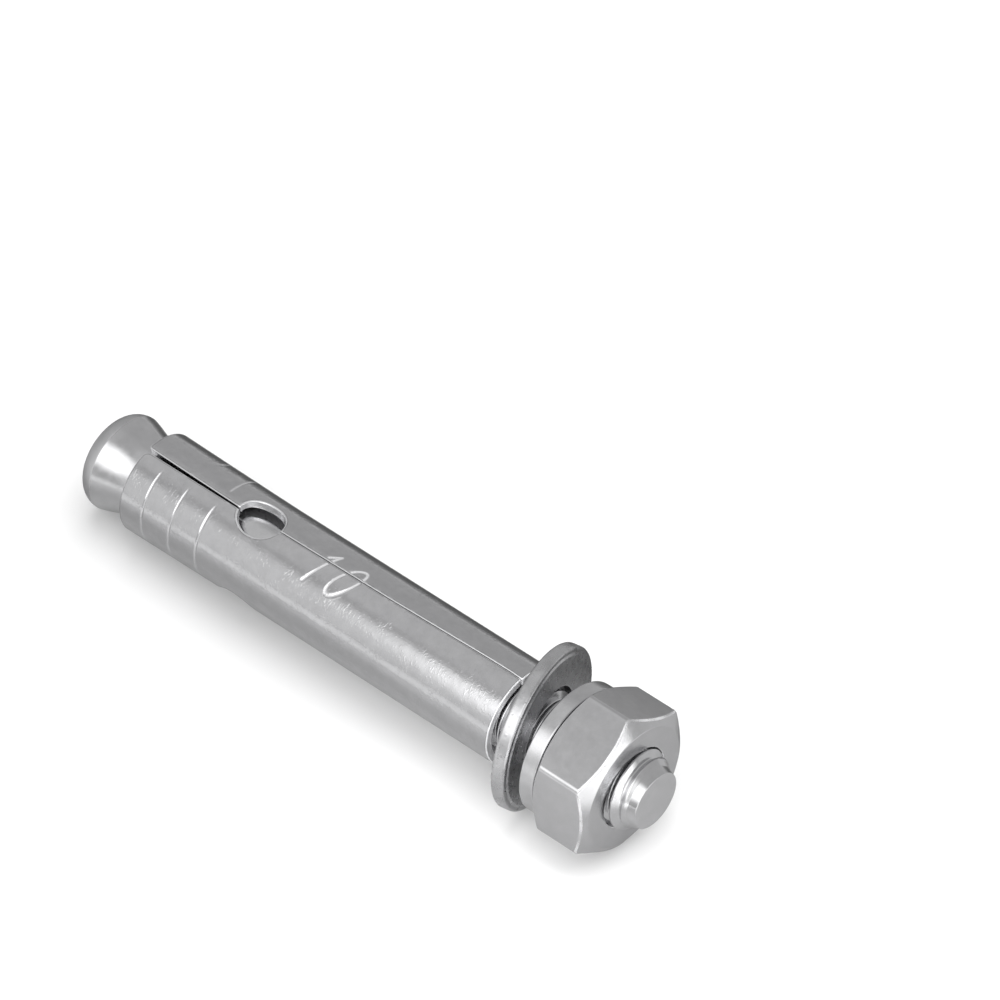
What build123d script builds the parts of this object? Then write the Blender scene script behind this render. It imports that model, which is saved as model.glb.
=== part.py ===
from build123d import *
import math
import os

# Expansion sleeve anchor: a stud with a cone head, a rolled and slit expansion
# sleeve, a plain washer, a split spring washer and a hexagon nut. Millimetres.
#
# The pieces are drawn along a shop axis: x runs from the head's end face (0)
# to the free end of the thread, z is up and y = z cross x. The whole anchor is
# then leaned so that it lies on the head's rim and the plain washer's rim, and
# moved so that the origin is under the middle of its box.

# ---- stud ---------------------------------------------------------------
stud_length = 83.2          # head end face to free end
head_r = 6.13               # largest radius of the head
head_round_r = 2.36         # radius of the head's rounded rim
head_peak_x = 2.28          # where the head is largest
shank_r = 4.45              # rolling blank, under the sleeve
thread_r = 4.925            # crest radius of the M10 x 1.5 thread
thread_start_x = 41.0
run_out = 0.7               # length of the step from shank to thread
tip_shoulder_x = 81.0       # where the crest cylinder ends
tip_r = 3.49                # free end

# ---- expansion sleeve ---------------------------------------------------
sleeve_mouth_x = 7.35
sleeve_end_x = 63.77
sleeve_r = 6.20
sleeve_wall = 1.00
end_edge = 0.22             # broken edge at the nut end
flare_from_x = 28.20        # behind the holes the sleeve is a true cylinder
flare = 0.12                # in front of them the three petals stand out a little
groove_x = (10.82, 15.03, 19.23)
groove_w = 0.60
groove_d = 0.16
groove_from_deg, groove_sweep_deg = 59.0, 337.0   # stops short of the seam slit
slit_deg = (46.6, 172.6, 289.6)                    # the first lies on the seam
slit_mouth_w = 0.72
slit_root_w = 0.26
petal_corner_r = 0.85
hole_x = 24.85
hole_r = 2.72
seam_w = 0.08
seam_from = (26.6, 45.0)    # x, degrees
seam_to = (64.4, 38.6)

# ---- plain washer -------------------------------------------------------
washer_r = 10.0
washer_bore_r = 5.32
washer_t = 1.86
washer_edge_r = 0.35
washer_mid_x = 66.62
washer_normal = (1.0, 0.190, -0.030)   # it hangs askew on the thread
washer_lift = 0.30          # it stands on its rim, and the thread lies low in its bore

# ---- split spring washer ------------------------------------------------
spring_r = 8.25
spring_bore_r = 5.20
spring_t = 1.92
spring_pitch = 1.70         # left hand: the two ends are offset by this much
spring_sweep_deg = 353.0
spring_end_deg = -45.0      # the end that bears on the nut
spring_lean_deg = 2.0
spring_edge = 0.12
spring_drop = 0.24          # it hangs on the thread

# ---- nut ----------------------------------------------------------------
nut_af = 17.0
nut_x0, nut_x1 = 72.45, 80.05
nut_corner_deg = -24.7
nut_face_r = 7.85           # edge circle of the 30 degree chamfers
nut_bore_r = 4.975
nut_countersink_r = 5.40

# ---- attitude -----------------------------------------------------------
up_deg = 40.6               # the angle that points up when the anchor lies
# each round face has one joint line along its length; these turn it off the line
# that the anchor lies on, and off the sleeve's butt joint
stud_joint_deg = 0.0
sleeve_joint_deg = 90.0
washer_joint_deg = 0.0

os.makedirs("parts", exist_ok=True)


def at(deg):
    """Unit (y, z) of a point at this angle round the axis."""
    p = math.radians(up_deg - deg)
    return math.sin(p), math.cos(p)


def turned(shape, deg):
    """Swing a shape drawn at the top (+z) round the axis to this angle."""
    return Rot(-(up_deg - deg), 0, 0) * shape


def revolved(points_face):
    return revolve(points_face, Axis.X, 360)


# ---- stud: one turned profile, cone, shank, crest cylinder and tip --------
rim_c = (head_peak_x, head_r - head_round_r)
face_r = rim_c[1] + math.sqrt(head_round_r ** 2 - rim_c[0] ** 2)
mid_a = math.radians(122.0)
rim_mid = (rim_c[0] + head_round_r * math.cos(mid_a), rim_c[1] + head_round_r * math.sin(mid_a))
cone_line = [(2.46, 6.125), (3.35, 5.93), (4.45, 5.53), (5.75, 5.13), (7.35, 4.79), (9.2, 4.54), (11.6, shank_r)]
with BuildPart() as stud_b:
    with BuildSketch(Plane.XZ):
        with BuildLine():
            Line((0, 0), (0, face_r))
            ThreePointArc((0, face_r), rim_mid, (head_peak_x, head_r))
            Line((head_peak_x, head_r), cone_line[0])
            Spline(*cone_line, tangents=[(1, -0.16), (1, 0)])
            Polyline(
                cone_line[-1],
                (thread_start_x, shank_r),
                (thread_start_x + run_out, thread_r),
                (tip_shoulder_x, thread_r),
                (81.55, 4.35),
                (82.2, 3.86),
                (83.0, 3.60),
                (stud_length, tip_r - 0.10),
                (stud_length, 0),
                (0, 0),
            )
        make_face()
    revolve(axis=Axis.X)
stud = Rot(stud_joint_deg, 0, 0) * stud_b.part

# ---- expansion sleeve -----------------------------------------------------
bore_r = sleeve_r - sleeve_wall


def outer_r(x):
    """Radius of the sleeve's outside: a cylinder that flares towards the mouth."""
    return sleeve_r + flare * max(0.0, (flare_from_x - x) / (flare_from_x - sleeve_mouth_x))


with BuildPart() as sleeve_b:
    with BuildSketch(Plane.XZ):
        with BuildLine():
            Polyline(
                (sleeve_mouth_x + 0.22, outer_r(sleeve_mouth_x + 0.22)),
                (flare_from_x, sleeve_r),
                (sleeve_end_x - end_edge, sleeve_r),
                (sleeve_end_x, sleeve_r - end_edge),
                (sleeve_end_x, bore_r),
                (flare_from_x, bore_r),
                (sleeve_mouth_x, bore_r + flare),
                (sleeve_mouth_x, outer_r(sleeve_mouth_x) - 0.22),
                close=True,
            )
        make_face()
    revolve(axis=Axis.X)
sleeve = Rot(sleeve_joint_deg, 0, 0) * sleeve_b.part


def slit_cutter():
    """A tapering slit with rounded petal corners at the mouth, cut from above."""
    w0, w1 = slit_mouth_w / 2, slit_root_w / 2
    m, c = sleeve_mouth_x, petal_corner_r
    k = c * (1 - math.cos(math.radians(45)))
    with BuildPart() as b:
        with BuildSketch(Plane.XY.offset(3.0)):
            with BuildLine():
                Line((m - 1.0, w0 + c), (m - 0.02, w0 + c))
                ThreePointArc((m - 0.02, w0 + c), (m + k, w0 + k), (m + c, w0))
                Line((m + c, w0), (hole_x, w1))
                Line((hole_x, w1), (hole_x, -w1))
                Line((hole_x, -w1), (m + c, -w0))
                ThreePointArc((m + c, -w0), (m + k, -w0 - k), (m - 0.02, -w0 - c))
                Line((m - 0.02, -w0 - c), (m - 1.0, -w0 - c))
                Line((m - 1.0, -w0 - c), (m - 1.0, w0 + c))
            make_face()
        extrude(amount=5.0)
    return b.part


def hole_cutter():
    return Pos(hole_x, 0, 5.5) * Cylinder(hole_r, 5.0)


for deg in slit_deg:
    sleeve = sleeve - turned(slit_cutter(), deg) - turned(hole_cutter(), deg)

for gx in groove_x:
    with BuildPart() as g:
        with BuildSketch(Plane.XZ):
            with BuildLine():
                Polyline(
                    (gx - groove_w / 2 - 0.02, outer_r(gx) + 0.02),
                    (gx, outer_r(gx) - groove_d),
                    (gx + groove_w / 2 + 0.02, outer_r(gx) + 0.02),
                    close=True,
                )
            make_face()
        revolve(axis=Axis.X, revolution_arc=groove_sweep_deg)
    # the sweep starts at +z and runs towards -y, which is the way the angle grows
    ring = g.part
    sleeve = sleeve - turned(ring, groove_from_deg)

# the butt joint of the rolled strip, which wanders a little round the axis
mid_deg = (seam_from[1] + seam_to[1]) / 2
drift = sleeve_r * math.radians(seam_to[1] - seam_from[1])
run = seam_to[0] - seam_from[0]
blade = Box(math.hypot(run, drift), seam_w, 2.4)
blade = Pos((seam_from[0] + seam_to[0]) / 2, 0, sleeve_r - 0.5) * Rot(0, 0, -math.degrees(math.atan2(drift, run))) * blade
sleeve = sleeve - turned(blade, mid_deg)

# ---- plain washer, askew ----------------------------------------------------
with BuildPart() as washer_b:
    with BuildSketch(Plane.XZ):
        h = washer_t / 2
        with BuildLine():
            Polyline((-h, washer_bore_r + 0.08), (-h, washer_r - washer_edge_r))
            RadiusArc((-h, washer_r - washer_edge_r), (-h + washer_edge_r, washer_r), washer_edge_r)
            Line((-h + washer_edge_r, washer_r), (h - washer_edge_r, washer_r))
            RadiusArc((h - washer_edge_r, washer_r), (h, washer_r - washer_edge_r), washer_edge_r)
            Polyline(
                (h, washer_r - washer_edge_r),
                (h, washer_bore_r + 0.08),
                (h - 0.08, washer_bore_r),
                (-h + 0.08, washer_bore_r),
                (-h, washer_bore_r + 0.08),
            )
        make_face()
    revolve(axis=Axis.X)
n = Vector(*washer_normal).normalized()
yaw = math.degrees(math.atan2(n.Y, n.X))
dip = -math.degrees(math.asin(n.Z))
washer = Pos(washer_mid_x, 0, washer_lift) * (Rot(0, 0, yaw) * (Rot(0, dip, 0) * (Rot(washer_joint_deg, 0, 0) * washer_b.part)))

# ---- split spring washer: one left-hand turn of square bar ------------------
mean_r = (spring_r + spring_bore_r) / 2
turns = spring_sweep_deg / 360.0
coil = Helix(pitch=spring_pitch, height=spring_pitch * turns, radius=mean_r, lefthand=True)
start = coil @ 0
e = spring_edge
hb, ht = (spring_r - spring_bore_r) / 2, spring_t / 2
with BuildPart() as spring_b:
    with BuildSketch(Plane(origin=start, x_dir=(1, 0, 0), z_dir=(0, -1, 0))):
        with BuildLine():
            Polyline(
                (-hb + e, -ht), (hb - e, -ht), (hb, -ht + e), (hb, ht - e),
                (hb - e, ht), (-hb + e, ht), (-hb, ht - e), (-hb, -ht + e), close=True,
            )
        make_face()
    sweep(path=coil, is_frenet=True)
spring = spring_b.part
# the coil was wound round z from angle 0; z becomes the anchor's axis, and the
# coil's last end (its top) is turned to the angle where it bears on the nut
spring = Rot(0, 90, 0) * spring            # z -> x, x -> -z
top_x = spring_pitch * turns
# end of the left-hand coil, as (y, z) after the turn above
end_v = coil @ 1
end_ang = math.degrees(math.atan2(end_v.Y, -end_v.X))     # from +z towards +y
want = up_deg - spring_end_deg
spring = Rot(-(want - end_ang), 0, 0) * spring
lean = math.radians(up_deg)
lean_axis = Axis((top_x / 2, 0, 0), (0, -math.cos(lean), math.sin(lean)))
spring = spring.rotate(lean_axis, spring_lean_deg)
back = spring.bounding_box().max.X
spring = Pos(nut_x0 - 0.04 - back, 0, -spring_drop) * spring

# ---- nut --------------------------------------------------------------------
corner_r = nut_af / 2 / math.cos(math.radians(30))
cy, cz = at(nut_corner_deg)
with BuildPart() as nut_b:
    with BuildSketch(Plane(origin=(nut_x0, 0, 0), x_dir=(0, cy, cz), z_dir=(1, 0, 0))):
        RegularPolygon(corner_r, 6)
    extrude(amount=nut_x1 - nut_x0)
hexagon = nut_b.part
out_r = corner_r + 0.5
rise = (out_r - nut_face_r) * math.tan(math.radians(30))
cs = nut_countersink_r - nut_bore_r
with BuildPart() as nut_env_b:
    with BuildSketch(Plane.XZ):
        with BuildLine():
            Polyline(
                (nut_x0, nut_countersink_r),
                (nut_x0, nut_face_r),
                (nut_x0 + rise, out_r),
                (nut_x1 - rise, out_r),
                (nut_x1, nut_face_r),
                (nut_x1, nut_countersink_r),
                (nut_x1 - cs, nut_bore_r),
                (nut_x0 + cs, nut_bore_r),
                close=True,
            )
        make_face()
    revolve(axis=Axis.X)
nut = hexagon & nut_env_b.part

# ---- lay the anchor down ------------------------------------------------------
pieces = {
    "cone_stud": stud,
    "expansion_sleeve": sleeve,
    "flat_washer": washer,
    "spring_washer": spring,
    "hex_nut": nut,
}


def lowest(shape):
    """How far a shape reaches down, and where along x."""
    bb = shape.bounding_box()
    return bb.min.Z


def lean_angle():
    """Pitch about y at which the head's rim and the washer's rim touch one floor."""
    lo, hi = 0.0, 8.0
    for _ in range(40):
        mid = (lo + hi) / 2
        head = (Rot(0, -mid, 0) * stud).bounding_box().min.Z
        rim = (Rot(0, -mid, 0) * washer).bounding_box().min.Z
        # the head is the lower of the two while the pitch is too large
        if rim < head:
            lo = mid
        else:
            hi = mid
    return (lo + hi) / 2


pitch = lean_angle()
leaned = {k: Rot(0, -pitch, 0) * s for k, s in pieces.items()}
boxes = [s.bounding_box() for s in leaned.values()]
lo = [min(getattr(b.min, c) for b in boxes) for c in "XYZ"]
hi = [max(getattr(b.max, c) for b in boxes) for c in "XYZ"]
shift = (-(lo[0] + hi[0]) / 2, -(lo[1] + hi[1]) / 2, -lo[2])
for name, s in leaned.items():
    s = Pos(*shift) * s
    s.label = name
    export_step(s, f"parts/{name}.step")

print("pitch", round(pitch, 4), "shift", [round(v, 4) for v in shift])
print("box", [round(h - l, 3) for l, h in zip(lo, hi)])
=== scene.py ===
import bpy
import math
import numpy as np
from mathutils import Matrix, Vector
from mathutils.geometry import delaunay_2d_cdt


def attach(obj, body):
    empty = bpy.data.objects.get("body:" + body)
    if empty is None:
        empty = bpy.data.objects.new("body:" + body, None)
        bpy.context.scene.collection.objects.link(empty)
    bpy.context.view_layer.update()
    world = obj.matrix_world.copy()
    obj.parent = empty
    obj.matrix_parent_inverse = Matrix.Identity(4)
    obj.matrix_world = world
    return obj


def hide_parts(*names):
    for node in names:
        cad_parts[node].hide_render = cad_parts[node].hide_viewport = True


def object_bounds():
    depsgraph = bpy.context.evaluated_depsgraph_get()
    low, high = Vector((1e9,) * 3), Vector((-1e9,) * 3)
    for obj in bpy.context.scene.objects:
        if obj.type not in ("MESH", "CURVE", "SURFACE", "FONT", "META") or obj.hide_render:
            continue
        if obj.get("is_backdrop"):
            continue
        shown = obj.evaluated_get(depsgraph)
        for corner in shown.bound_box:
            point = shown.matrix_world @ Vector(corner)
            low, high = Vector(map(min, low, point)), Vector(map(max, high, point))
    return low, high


# Expansion sleeve anchor. Every shape below is worked out along a shop axis in
# millimetres: x runs from the head's end face to the free end of the thread, z is
# up. row() lays the shop axis down into the frame and turns it into metres.

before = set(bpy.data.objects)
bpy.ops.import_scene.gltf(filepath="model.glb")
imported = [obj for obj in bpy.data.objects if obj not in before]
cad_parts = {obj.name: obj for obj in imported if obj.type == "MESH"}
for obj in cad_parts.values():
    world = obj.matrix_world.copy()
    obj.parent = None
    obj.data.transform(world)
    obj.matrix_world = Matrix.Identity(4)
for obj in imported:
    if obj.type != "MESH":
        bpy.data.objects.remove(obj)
CAD_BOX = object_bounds()

PITCH = math.radians(3.1968)
SHIFT = np.array([-41.5077, 0.0, 5.997])
UP = 40.6
CP, SP = math.cos(PITCH), math.sin(PITCH)


def row(p):
    p = np.asarray(p, float).reshape(-1, 3)
    out = np.empty_like(p)
    out[:, 0] = p[:, 0] * CP - p[:, 2] * SP
    out[:, 1] = p[:, 1]
    out[:, 2] = p[:, 0] * SP + p[:, 2] * CP
    return (out + SHIFT) / 1000.0


def row_dir(v):
    v = np.asarray(v, float)
    return Vector((v[0] * CP - v[2] * SP, v[1], v[0] * SP + v[2] * CP))


def polar(x, r, deg):
    """Shop point at this radius and angle round the axis; 40.6 degrees is up."""
    a = np.radians(UP - np.asarray(deg, float))
    x = np.broadcast_to(np.asarray(x, float), a.shape) if np.ndim(x) == 0 else np.asarray(x, float)
    r = np.asarray(r, float)
    x, r, a = np.broadcast_arrays(x, r, a)
    return np.stack([x, r * np.sin(a), r * np.cos(a)], -1)


def smooth(a, b, t):
    t = np.clip((np.asarray(t, float) - a) / (b - a), 0, 1)
    return t * t * (3 - 2 * t)


# ------------------------------------------------------------------ meshes --
class Mesh:
    """Collects vertices (shop millimetres) and faces, then makes one object."""

    def __init__(self):
        self.v, self.f, self.n, self.press_mark_and_painted_light = [], [], 0, []

    def add(self, pts, press_mark_and_painted_light=None):
        pts = np.asarray(pts, float).reshape(-1, 3)
        start = self.n
        self.v.append(pts)
        self.press_mark_and_painted_light.append(np.zeros(len(pts)) if press_mark_and_painted_light is None else np.asarray(press_mark_and_painted_light, float).reshape(-1))
        self.n += len(pts)
        return start

    def grid(self, pts, wrap=False, flip=False, press_mark_and_painted_light=None):
        """pts[i, j]: rows i along, columns j round. wrap joins the last column to the first."""
        rows, cols = pts.shape[:2]
        s = self.add(pts, press_mark_and_painted_light)
        for i in range(rows - 1):
            for j in range(cols if wrap else cols - 1):
                k = (j + 1) % cols
                a, b, c, d = s + i * cols + j, s + i * cols + k, s + (i + 1) * cols + k, s + (i + 1) * cols + j
                self.f.append((a, d, c, b) if flip else (a, b, c, d))
        return s

    def disc(self, ring, centre, flip=False):
        s = self.add(ring)
        c = self.add([centre])
        n = len(ring)
        for j in range(n):
            k = (j + 1) % n
            self.f.append((s + k, s + j, c) if flip else (s + j, s + k, c))

    def make(self, name, body, node, material, weld=2e-5):
        v = np.vstack(self.v)
        # weld what coincides, drop faces that collapse
        key = np.round(v / weld / 1.0).astype(np.int64)
        _, first, inverse = np.unique(key, axis=0, return_index=True, return_inverse=True)
        inverse = inverse.reshape(-1)
        faces = []
        for f in self.f:
            g = []
            for q in f:
                m = int(inverse[q])
                if not g or g[-1] != m:
                    g.append(m)
            if len(g) > 1 and g[0] == g[-1]:
                g.pop()
            if len(set(g)) >= 3 and len(set(g)) == len(g):
                faces.append(g)
        pos = row(v[first])
        me = bpy.data.meshes.new(name)
        me.from_pydata(pos.tolist(), [], faces)
        me.update()
        # shading normals weighted by area, so that large faces stay flat beside fine rounded edges
        nrm = np.zeros_like(pos)
        tri = [(f[0], f[k], f[k + 1]) for f in faces for k in range(1, len(f) - 1)]
        tri = np.array(tri)
        cr = np.cross(pos[tri[:, 1]] - pos[tri[:, 0]], pos[tri[:, 2]] - pos[tri[:, 0]])
        for k in range(3):
            np.add.at(nrm, tri[:, k], cr)
        ln = np.linalg.norm(nrm, axis=1)
        nrm[ln > 0] /= ln[ln > 0][:, None]
        me.polygons.foreach_set("use_smooth", [True] * len(me.polygons))
        me.normals_split_custom_set_from_vertices(nrm.tolist())
        me.materials.append(material)
        # per-vertex weights: press marks on the sleeve, and painted highlights and painted shade on edges, walls and
        # the head's rim
        at = me.attributes.new("press_mark_and_painted_light", "FLOAT", "POINT")
        at.data.foreach_set("value", np.concatenate(self.press_mark_and_painted_light)[first].astype(np.float32))
        ob = bpy.data.objects.new(name, me)
        bpy.context.scene.collection.objects.link(ob)
        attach(ob, body)
        if node:
            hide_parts(node)
        return ob


def rounded(points, radii, steps=5):
    """An open line of (x, r) points with its inner corners rounded."""
    out = [points[0]]
    for i in range(1, len(points) - 1):
        p, a, b = np.array(points[i], float), np.array(points[i - 1], float), np.array(points[i + 1], float)
        rad = radii[i]
        if rad <= 0:
            out.append(tuple(p))
            continue
        u, w = (a - p) / np.linalg.norm(a - p), (b - p) / np.linalg.norm(b - p)
        ang = math.acos(max(-1, min(1, float(u @ w))))
        d = min(rad / math.tan(ang / 2), 0.49 * np.linalg.norm(a - p), 0.49 * np.linalg.norm(b - p))
        rr = d * math.tan(ang / 2)
        mid = (u + w) / np.linalg.norm(u + w)
        c = p + mid * rr / math.sin(ang / 2)
        s, e = p + u * d - c, p + w * d - c
        a0, a1 = math.atan2(s[1], s[0]), math.atan2(e[1], e[0])
        while a1 - a0 > math.pi:
            a1 -= 2 * math.pi
        while a1 - a0 < -math.pi:
            a1 += 2 * math.pi
        # a holding line on each side keeps the flats flat
        hold = 0.25 * d
        out.append(tuple(p + u * (d + hold)))
        for k in range(steps + 1):
            t = a0 + (a1 - a0) * k / steps
            out.append((c[0] + rr * math.cos(t), c[1] + rr * math.sin(t)))
        out.append(tuple(p + w * (d + hold)))
    out.append(points[-1])
    return out


def lathe(m, line, n=192, flip=False, place=None, press_mark_and_painted_light=None):
    """Turn an (x, r) line round the axis."""
    th = np.arange(n) * 360.0 / n
    pts = np.array([polar(x, max(r, 1e-4), th) for x, r in line])
    if place is not None:
        pts = place(pts.reshape(-1, 3)).reshape(pts.shape)
    return m.grid(pts, wrap=True, flip=flip, press_mark_and_painted_light=press_mark_and_painted_light)


# --------------------------------------------------------------- materials --
def nodes_of(name):
    mat = bpy.data.materials.new(name)
    mat.use_nodes = True
    nt = mat.node_tree
    nt.nodes.clear()
    return mat, nt


def steel(name, base=(0.62, 0.62, 0.63), rough=0.24, rough_var=0.08, speck=0.0, speck_scale=2600.0,
          wave=0.0, wave_scale=420.0, fine=0.02, fine_scale=5200.0, streak=0.0, streak_axis="x", streak_scale=900.0,
          mottle=0.06, mottle_scale=700.0, aniso=0.0, painted_light_gain=0.0, mark_rough=0.0, mark_frost=0.0,
          wave2=0.0, wave2_scale=900.0, fleck=0.0, fleck_scale=2400.0):
    """Bright stainless steel: tumbled or rolled, with faint waves, pits and scratches."""
    mat, nt = nodes_of(name)
    N, L = nt.nodes, nt.links
    out = N.new("ShaderNodeOutputMaterial")
    bsdf = N.new("ShaderNodeBsdfPrincipled")
    bsdf.inputs["Metallic"].default_value = 1.0
    if aniso:
        bsdf.inputs["Anisotropic"].default_value = aniso
    L.new(bsdf.outputs["BSDF"], out.inputs["Surface"])
    co = N.new("ShaderNodeTexCoord")

    def noise(scale, detail=3.0, rough_=0.5, vec=None, dist=0.0):
        t = N.new("ShaderNodeTexNoise")
        t.inputs["Scale"].default_value = scale
        t.inputs["Detail"].default_value = detail
        t.inputs["Roughness"].default_value = rough_
        t.inputs["Distortion"].default_value = dist
        L.new(vec if vec is not None else co.outputs["Object"], t.inputs["Vector"])
        return t

    def ramp(src, lo, hi, a, b):
        t = N.new("ShaderNodeMapRange")
        t.inputs["From Min"].default_value = lo
        t.inputs["From Max"].default_value = hi
        t.inputs["To Min"].default_value = a
        t.inputs["To Max"].default_value = b
        L.new(src, t.inputs["Value"])
        return t

    # colour: a little lighter and darker in patches
    big = noise(mottle_scale, 4.0, 0.6)
    val = ramp(big.outputs["Fac"], 0.3, 0.7, 1.0 - mottle, 1.0 + mottle)
    mul = N.new("ShaderNodeVectorMath")
    mul.operation = "SCALE"
    mul.inputs[0].default_value = base
    L.new(val.outputs["Result"], mul.inputs["Scale"])
    colour = mul.outputs["Vector"]
    # roughness: patches and pits
    rn = noise(mottle_scale * 1.7, 5.0, 0.65)
    rr = ramp(rn.outputs["Fac"], 0.3, 0.7, rough - rough_var, rough + rough_var)
    rough_out = rr.outputs["Result"]
    if painted_light_gain or mark_rough:
        # the attribute paints light into the colour: a painted highlight where the gain is above 0, a painted shade
        # where it is below 0; marked places are also rougher, and frosted by the punch where frost is set
        at = N.new("ShaderNodeAttribute")
        at.attribute_name = "press_mark_and_painted_light"
        g = ramp(at.outputs["Fac"], 0.0, 1.0, 1.0, 1.0 + painted_light_gain)
        m2 = N.new("ShaderNodeVectorMath")
        m2.operation = "SCALE"
        L.new(colour, m2.inputs[0])
        L.new(g.outputs["Result"], m2.inputs["Scale"])
        colour = m2.outputs["Vector"]
        ar = N.new("ShaderNodeMath")
        ar.operation = "MULTIPLY_ADD"
        L.new(at.outputs["Fac"], ar.inputs[0])
        ar.inputs[1].default_value = mark_rough
        L.new(rough_out, ar.inputs[2])
        rough_out = ar.outputs["Value"]
        if mark_frost:
            fr = ramp(at.outputs["Fac"], 0.0, 1.0, 1.0, 1.0 - mark_frost)
            L.new(fr.outputs["Result"], bsdf.inputs["Metallic"])
    L.new(rough_out, bsdf.inputs["Roughness"])
    L.new(colour, bsdf.inputs["Base Color"])
    # relief
    last = None

    def bump(height, strength, distance):
        nonlocal last
        b = N.new("ShaderNodeBump")
        b.inputs["Strength"].default_value = strength
        b.inputs["Distance"].default_value = distance
        L.new(height, b.inputs["Height"])
        if last is not None:
            L.new(last, b.inputs["Normal"])
        last = b.outputs["Normal"]

    if wave > 0:
        w = noise(wave_scale, 2.0, 0.5, dist=0.4)
        bump(w.outputs["Fac"], 1.0, wave)
    if wave2 > 0:
        w2 = noise(wave2_scale, 3.0, 0.55, dist=0.3)
        bump(w2.outputs["Fac"], 1.0, wave2)
    if streak > 0:
        mp = N.new("ShaderNodeMapping")
        sc = {"x": (0.03, 1.0, 1.0), "yz": (1.0, 0.06, 0.06)}[streak_axis]
        mp.inputs["Scale"].default_value = sc
        L.new(co.outputs["Object"], mp.inputs["Vector"])
        s = noise(streak_scale, 3.0, 0.6, vec=mp.outputs["Vector"])
        bump(s.outputs["Fac"], 1.0, streak)
    if speck > 0:
        v = N.new("ShaderNodeTexVoronoi")
        v.inputs["Scale"].default_value = speck_scale
        v.inputs["Randomness"].default_value = 1.0
        L.new(co.outputs["Object"], v.inputs["Vector"])
        vr = ramp(v.outputs["Distance"], 0.0, 0.35, 1.0, 0.0)
        gate = noise(speck_scale * 0.45, 2.0)
        gr = ramp(gate.outputs["Fac"], 0.42, 0.52, 0.0, 1.0)
        mm = N.new("ShaderNodeMath")
        mm.operation = "MULTIPLY"
        L.new(vr.outputs["Result"], mm.inputs[0])
        L.new(gr.outputs["Result"], mm.inputs[1])
        bump(mm.outputs["Value"], 1.0, speck)
    if fleck > 0:
        # short nicks lying across the axis, in clusters
        mq = N.new("ShaderNodeMapping")
        mq.inputs["Scale"].default_value = (1.0, 0.55, 0.55)
        L.new(co.outputs["Object"], mq.inputs["Vector"])
        f1 = noise(fleck_scale, 2.0, 0.6, vec=mq.outputs["Vector"], dist=0.9)
        fa = ramp(f1.outputs["Fac"], 0.50, 0.70, 0.0, 1.0)
        f2 = noise(fleck_scale * 0.15, 2.0)
        fb = ramp(f2.outputs["Fac"], 0.46, 0.60, 0.06, 1.0)
        fm_ = N.new("ShaderNodeMath")
        fm_.operation = "MULTIPLY"
        L.new(fa.outputs["Result"], fm_.inputs[0])
        L.new(fb.outputs["Result"], fm_.inputs[1])
        bump(fm_.outputs["Value"], 1.0, fleck)
    if fine > 0:
        fn = noise(fine_scale, 3.0, 0.6)
        bump(fn.outputs["Fac"], fine, 0.00002)
    if last is not None:
        L.new(last, bsdf.inputs["Normal"])
    return mat


MAT_SLEEVE = steel("rolled_sheet", base=(0.60, 0.60, 0.61), rough=0.14, rough_var=0.045, wave=0.000026, wave_scale=300.0,
                   speck=0.000009, speck_scale=2600.0, fine=0.08, mottle=0.05, streak=0.000011, streak_axis="x", streak_scale=1100.0,
                   painted_light_gain=0.45, mark_rough=0.22, mark_frost=0.75, wave2=0.000016, wave2_scale=1050.0, fleck=0.000012, fleck_scale=2900.0)
MAT_STUD = steel("turned_steel", base=(0.66, 0.66, 0.67), rough=0.20, rough_var=0.06, wave=0.000008, wave_scale=500.0,
                 fine=0.06, mottle=0.05, streak=0.000003, streak_axis="yz", streak_scale=1800.0, painted_light_gain=-0.10, mark_rough=0.28)
MAT_WASHER = steel("stamped_steel", base=(0.58, 0.58, 0.59), rough=0.30, rough_var=0.09, wave=0.00001, wave_scale=600.0,
                   speck=0.000018, speck_scale=1600.0, fine=0.12, mottle=0.10, wave2=0.000010, wave2_scale=1100.0)
MAT_SPRING = steel("coiled_steel", base=(0.64, 0.64, 0.65), rough=0.22, rough_var=0.06, wave=0.000008, wave_scale=500.0,
                   speck=0.000004, speck_scale=3000.0, fine=0.06, mottle=0.06)
MAT_NUT = steel("forged_steel", base=(0.62, 0.62, 0.63), rough=0.20, rough_var=0.05, wave=0.000006, wave_scale=380.0,
                speck=0.000005, speck_scale=2600.0, fine=0.04, mottle=0.04, painted_light_gain=0.45, mark_rough=0.20, mark_frost=0.60)

# ---------------------------------------------------------------- the stud --
HEAD_R, ROUND_R, PEAK_X = 6.13, 2.36, 2.28
THREAD_R, PITCH_MM, SHANK_R = 4.925, 1.5, 4.45
CONE = [(2.46, 6.125), (3.35, 5.93), (4.45, 5.53), (5.75, 5.13), (7.35, 4.79), (9.2, 4.54), (11.6, 4.45)]
TIP = [(81.0, 4.925), (81.55, 4.35), (82.2, 3.86), (83.0, 3.60), (83.2, 3.39)]


def spline(points, n):
    """A smooth line through points, by Catmull-Rom."""
    p = np.array([points[0]] + list(points) + [points[-1]], float)
    out = []
    for i in range(1, len(p) - 2):
        for k in range(n):
            t = k / n
            a, b, c, d = p[i - 1], p[i], p[i + 1], p[i + 2]
            out.append(tuple(0.5 * (2 * b + (c - a) * t + (2 * a - 5 * b + 4 * c - d) * t * t + (3 * b - a - 3 * c + d) * t ** 3)))
    out.append(tuple(p[-1]))
    return out


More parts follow.
